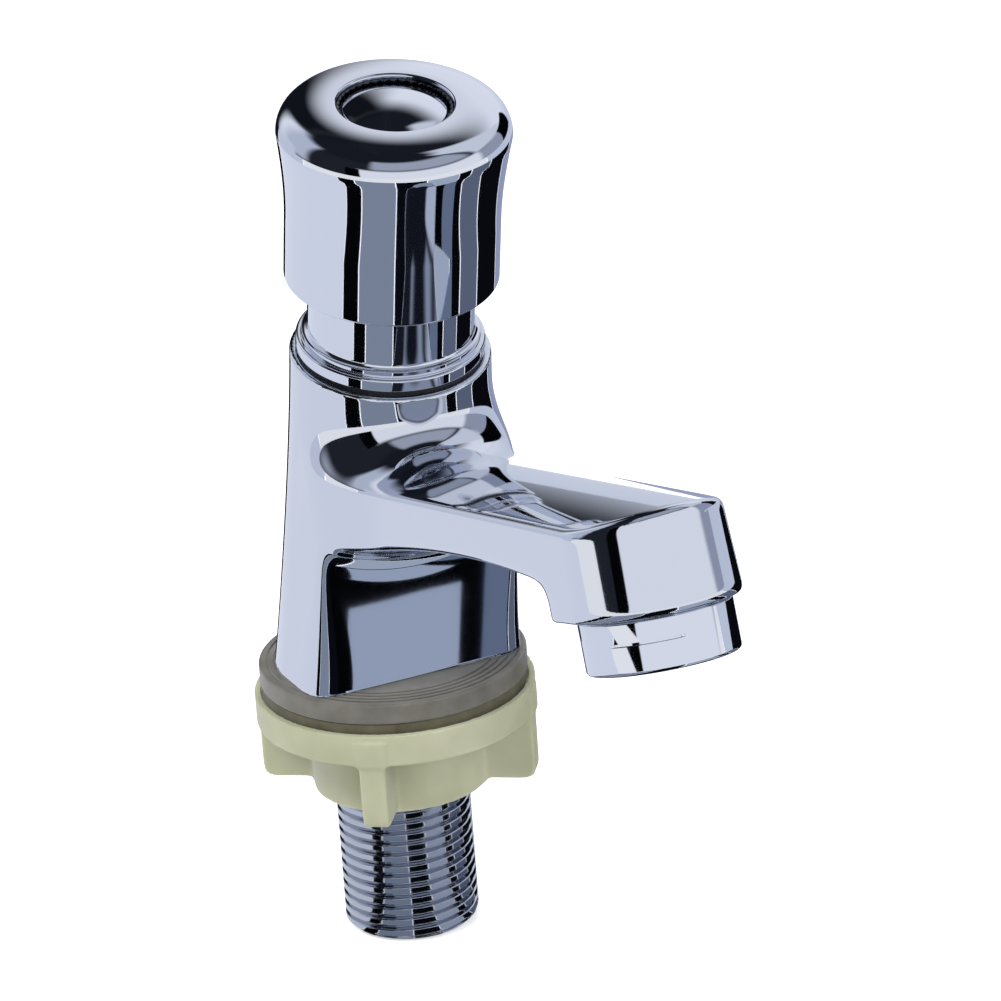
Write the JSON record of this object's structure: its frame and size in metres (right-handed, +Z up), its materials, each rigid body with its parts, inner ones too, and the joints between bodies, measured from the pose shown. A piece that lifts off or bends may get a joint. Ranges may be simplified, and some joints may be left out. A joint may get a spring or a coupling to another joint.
{
  "type": "push timed tap",
  "caption": "Deck-mounted self-closing basin tap with a push cap, a rising spout, a nozzle and a threaded inlet shank with a wing nut.",
  "frame": {"origin": "on the axis of the inlet shank, in the plane where the base gasket meets the deck", "axes": "+Z up along the shank's axis, +X out along the spout"},
  "size_m": [0.1291, 0.0436, 0.1407],
  "materials": {
    "chrome_body": "polished",
    "chrome_cap": "polished",
    "chrome_trim": "polished",
    "chrome_thread": "plated, cut thread",
    "ivory_plastic": "moulded",
    "grey_gasket": "moulded, satin",
    "brown_washer": "moulded, satin",
    "black_rubber": "moulded",
    "brass": "machined",
    "steel": "drawn",
    "dark_steel": "knurled",
    "white_plastic": "moulded"
  },
  "bodies": {
    "tap": {"tap_body": "chrome_body", "bonnet": "chrome_trim", "nozzle_housing": "chrome_trim", "inlet_shank": "chrome_thread", "base_gasket": "grey_gasket", "bonnet_seal": "black_rubber", "seat_seal": "black_rubber", "spindle_seal": "black_rubber", "nozzle_seal": "black_rubber", "filter_ring": "brass", "cartridge_sleeve": "brass", "valve_seat": "brass", "metering_pin": "steel", "return_spring": "steel", "aerator_screen": "steel", "inlet_filter": "white_plastic", "guide_bush": "white_plastic", "aerator_cartridge": "white_plastic"},
    "press_unit": {"push_cap": "chrome_cap", "cap_guide_ring": "white_plastic", "cap_screw": "steel", "insert_ring": "dark_steel", "cap_insert": "chrome_cap", "spindle": "steel", "piston": "white_plastic", "piston_seal": "black_rubber", "circlip": "steel", "valve_disc": "black_rubber", "disc_screw": "brass"},
    "washer_carrier": {"clamp_washer": "brown_washer"},
    "nut": {"back_nut": "ivory_plastic"}
  },
  "joints": [
    {"name": "cap_press", "type": "slide", "parent": "tap", "child": "press_unit", "axis": [-0.2079, 0, -0.9781], "range_m": [0, 0.008], "stiffness_N_per_m": 1200, "springref_m": -0.004, "deforming": ["return_spring"]},
    {"name": "nut_travel", "type": "slide", "parent": "tap", "child": "washer_carrier", "axis": [0, 0, -1], "range_m": [0, 0.01996]},
    {"name": "nut_turn", "type": "hinge", "parent": "washer_carrier", "child": "nut", "pos_m": [0, 0, -0.0024], "axis": [0, 0, -1], "range_deg": [0, 3960]}
  ],
  "couplings": [
    {"joint": "nut_travel", "follows": "nut_turn", "m_per_rad": 0.00028871}
  ]
}
